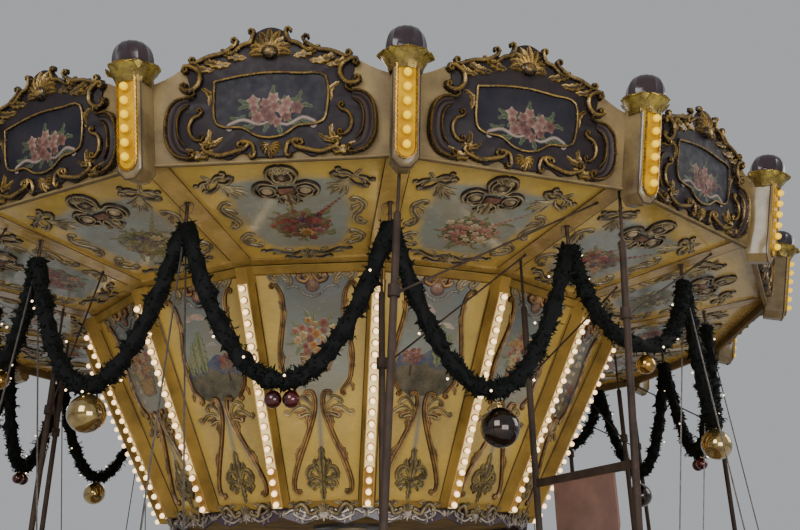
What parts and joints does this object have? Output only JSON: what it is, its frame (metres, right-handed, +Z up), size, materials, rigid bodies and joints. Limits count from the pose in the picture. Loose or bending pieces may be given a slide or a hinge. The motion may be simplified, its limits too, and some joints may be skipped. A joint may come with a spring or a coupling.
{
  "type": "fairground carousel",
  "caption": "Sixteen-sided carousel with crown, lamp battens, painted ceiling, inverted cone, hanging deck and garland, turning on a mast.",
  "frame": {"origin": "on the ground under the centre of the mast", "axes": "+Z up along the turning axis, -Y through roof corner 0 on the side seen in the picture"},
  "size_m": [10.2776, 10.2776, 6.3403],
  "materials": {
    "dark_steel": "satin",
    "cream_steel": "satin",
    "rod_steel": "satin",
    "wire_steel": "satin",
    "tilt_cloth": "matt",
    "gilt": "satin",
    "cream_wood": "gloss",
    "deck_wood": "satin",
    "board_wood": "satin",
    "fir": "matt"
  },
  "bodies": {
    "base": {"ground_frame": "dark_steel", "mast": "cream_steel", "mast_struts": "dark_steel", "mast_head_bearing": "dark_steel"},
    "turning": {"hub": "dark_steel", "rafters": "cream_steel", "eaves_ring": "cream_steel", "roof_tilt": "tilt_cloth", "roof_cap": "gilt", "ceiling_panels": "cream_wood", "ceiling_ribs": "cream_wood", "cone_panels": "cream_wood", "cone_lamp_battens": "cream_wood", "cone_valance": "gilt", "cone_floor": "cream_wood", "crown": "cream_wood", "platform_deck": "deck_wood", "platform_outer_rim": "cream_wood", "platform_inner_rim": "cream_wood", "platform_joists": "dark_steel", "outer_drop_rod_00": "rod_steel", "inner_drop_rod_00": "rod_steel", "outer_drop_rod_01": "rod_steel", "inner_drop_rod_01": "rod_steel", "outer_drop_rod_04": "rod_steel", "inner_drop_rod_04": "rod_steel", "outer_drop_rod_05": "rod_steel", "inner_drop_rod_05": "rod_steel", "outer_drop_rod_08": "rod_steel", "inner_drop_rod_08": "rod_steel", "outer_drop_rod_09": "rod_steel", "inner_drop_rod_09": "rod_steel", "outer_drop_rod_12": "rod_steel", "inner_drop_rod_12": "rod_steel", "outer_drop_rod_13": "rod_steel", "inner_drop_rod_13": "rod_steel", "tie_wires_02": "wire_steel", "tie_wires_03": "wire_steel", "tie_wires_06": "wire_steel", "tie_wires_07": "wire_steel", "tie_wires_10": "wire_steel", "tie_wires_11": "wire_steel", "tie_wires_14": "wire_steel", "tie_wires_15": "wire_steel", "sign_crossbar": "dark_steel", "sign_board": "board_wood", "garland": "fir"}
  },
  "joints": [
    {"name": "carousel_turn", "type": "hinge", "parent": "base", "child": "turning", "pos_m": [0, 0, 5.56], "axis": [0, 0, 1], "continuous": true}
  ]
}
